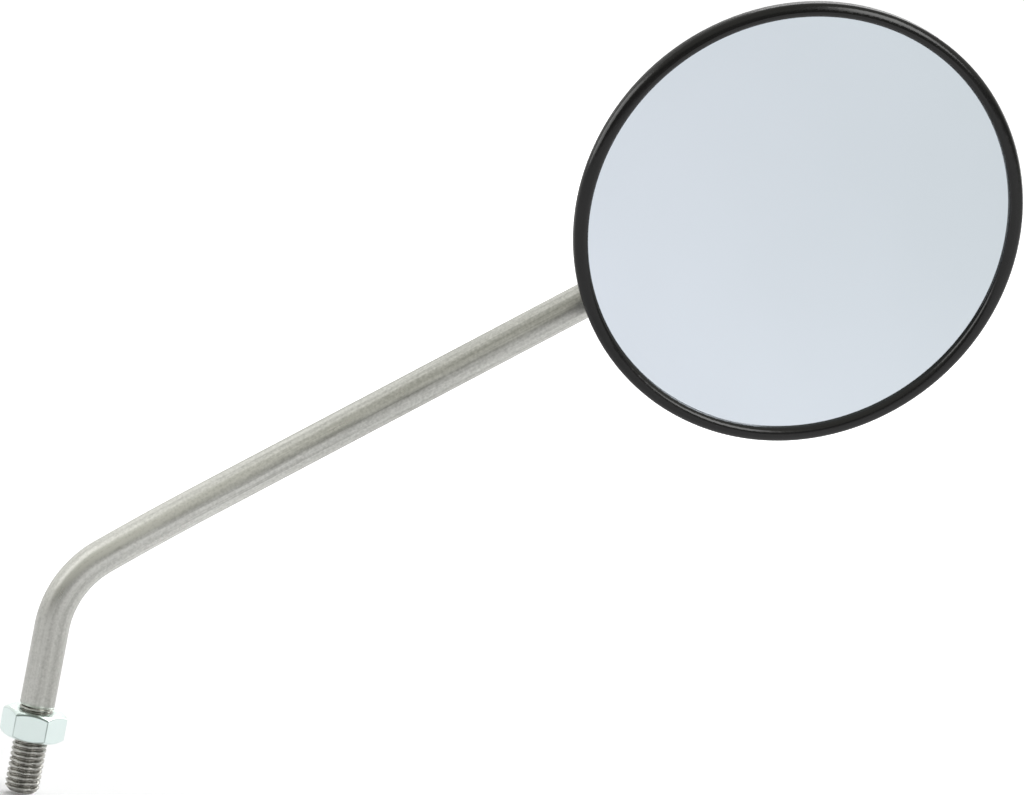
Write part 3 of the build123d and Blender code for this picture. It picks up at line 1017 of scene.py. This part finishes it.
# share of the height, and linear colour of the room there
room_tones = (
    (0.15, (0.2, 0.2, 0.185, 1.0)),
    (0.3, (0.55, 0.55, 0.5, 1.0)),
    (1.0, (0.68, 0.68, 0.62, 1.0)),
)
white_behind = (1.0, 1.0, 0.97, 1.0)
white_seen = (1.0, 1.0, 1.0, 1.0)
matt_strength = 0.4
world = bpy.data.worlds.new("studio")
bpy.context.scene.world = world
world.use_nodes = True
tree = world.node_tree
ground = tree.nodes["Background"]
direction = add(tree, "ShaderNodeTexCoord").outputs["Generated"]
toward = add(tree, "ShaderNodeSeparateXYZ", {0: direction}).outputs
in_front = add(
    tree,
    "ShaderNodeMapRange",
    {"Value": toward["Y"], "From Min": front_end, "From Max": back_start, "To Min": 1.0, "To Max": 0.0},
    interpolation_type="SMOOTHSTEP",
).outputs[0]
height = add(
    tree,
    "ShaderNodeMapRange",
    {"Value": toward["Z"], "From Min": lowest, "From Max": highest},
).outputs[0]
room = add(tree, "ShaderNodeValToRGB", {"Fac": height})
room.color_ramp.elements.new(1.0)
for stop, (share, colour) in zip(room.color_ramp.elements, room_tones):
    stop.position = share
    stop.color = colour
mirrored = add(
    tree,
    "ShaderNodeMix",
    {"Factor": in_front, "A": white_behind, "B": room.outputs["Color"]},
    data_type="RGBA",
).outputs["Result"]
rays = add(tree, "ShaderNodeLightPath").outputs
open_view = add(
    tree,
    "ShaderNodeMix",
    {"Factor": rays["Is Glossy Ray"], "A": white_seen, "B": mirrored},
    data_type="RGBA",
).outputs["Result"]
tree.links.new(open_view, ground.inputs["Color"])
strength = add(
    tree,
    "ShaderNodeMapRange",
    {"Value": rays["Is Diffuse Ray"], "To Min": 1.0, "To Max": matt_strength},
).outputs[0]
tree.links.new(strength, ground.inputs["Strength"])
print("surroundings:", world.name, "with", len(room.color_ramp.elements), "tones in the room")

# %% [markdown]
# ## Lamps
#
# Soft lamps stand above, on both sides and behind. The last one draws the soft highlight at the upper
# left of the ring. In a studio a black card would keep it off the stem, where it would be mirrored in
# the bend, and here light linking does that: this lamp reaches the ring alone.

# %% Lamps
aim = Vector((94.182, 0.0, 95.393)) * MM
# name, place, width and height in metres, and power in watts
lamps = (
    ("top softbox", (0.35, 0.7, 1.0), 0.9, 0.9, 10.0),
    ("left softbox", (-1.0, -0.1, 0.75), 0.6, 0.9, 0.9),
    ("right softbox", (1.15, -1.47, 0.76), 0.75, 1.0, 11.8),
    ("rear softbox", (1.2, 0.6, 0.3), 0.6, 0.5, 1.9),
    ("ring softbox", (-1.0, -0.2, 0.38), 1.5, 0.7, 10.0),
)
ring_only = bpy.data.collections.new("ring only")
ring_only.objects.link(nodes["rim_ring"])
for name, spot, wide, tall, power in lamps:
    lamp = bpy.data.lights.new(name, "AREA")
    lamp.shape = "RECTANGLE"
    lamp.size = wide
    lamp.size_y = tall
    lamp.energy = power
    softbox = show(name, lamp)
    softbox.location = spot
    softbox.rotation_euler = (aim - Vector(spot)).to_track_quat("-Z", "Y").to_euler()
    if name == "ring softbox":
        softbox.light_linking.receiver_collection = ring_only
print("lamps:", len(lamps))

# %% [markdown]
# ## Camera
#
# The photo is taken with a long lens from a little above and to the left, with the camera rolled, so
# the stem seems to lean. Direction, roll and scale were fitted to the edge of the ring, the stem and
# the nut.

# %% Camera
azimuth = math.radians(-10.924)
elevation = math.radians(10.052)
roll = math.radians(11.153)
distance = 2.0
toward_camera = Vector(
    (
        math.sin(azimuth) * math.cos(elevation),
        -math.cos(azimuth) * math.cos(elevation),
        math.sin(elevation),
    )
)
level_right = Vector((math.cos(azimuth), math.sin(azimuth), 0.0))
level_up = toward_camera.cross(level_right)
camera_right = level_right * math.cos(roll) + level_up * math.sin(roll)
camera_up = level_up * math.cos(roll) - level_right * math.sin(roll)
# focal length and sensor in millimetres
lens = bpy.data.cameras.new("camera")
lens.lens = 308.668
lens.sensor_width = 36.0
lens.sensor_fit = "HORIZONTAL"
camera = show("camera", lens)
axes = Matrix((camera_right, camera_up, toward_camera)).transposed().to_4x4()
camera.matrix_world = Matrix.Translation(aim + toward_camera * distance) @ axes
bpy.context.scene.camera = camera
bpy.context.scene.view_settings.view_transform = "Standard"
print("camera at", [round(c, 4) for c in camera.matrix_world.translation])

# %% [markdown]
# ## Size
#
# The finished pieces stay inside the box of the imported model, and that box is written down.

# %% Size
print("box before:", [round(v * 1000, 3) for v in (*cad_low, *cad_high)])
